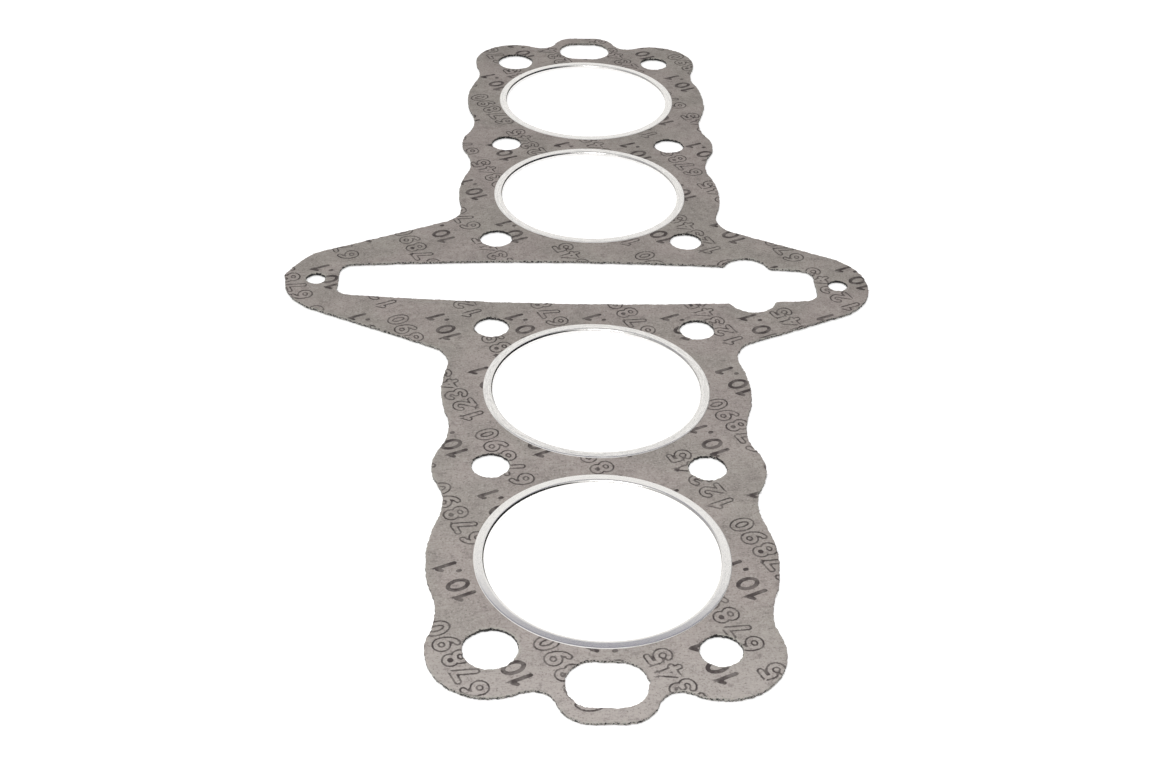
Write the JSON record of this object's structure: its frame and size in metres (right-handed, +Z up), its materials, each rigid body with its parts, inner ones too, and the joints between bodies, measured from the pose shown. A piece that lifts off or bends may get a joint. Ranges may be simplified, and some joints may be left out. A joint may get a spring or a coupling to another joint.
{
  "type": "cylinder head gasket",
  "caption": "Flat fibre head gasket with metal fire rings round its bores, a chain tunnel across the middle and an arm on each side.",
  "frame": {"origin": "middle of the stud pattern, in the middle of the chain tunnel, at half the gasket's thickness", "axes": "+X across the engine towards the shorter arm, +Y along the row of bores, +Z up out of the head face"},
  "size_m": [0.1971, 0.396, 0.0016],
  "materials": {
    "fibre_sheet": "matte pressed fibre, warm grey, with small printed numbers",
    "ring_metal": "bright satin sheet metal"
  },
  "bodies": {
    "root": {"gasket_sheet": "fibre_sheet", "fire_ring_1": "ring_metal", "fire_ring_2": "ring_metal", "fire_ring_3": "ring_metal", "fire_ring_4": "ring_metal"}
  },
  "joints": []
}
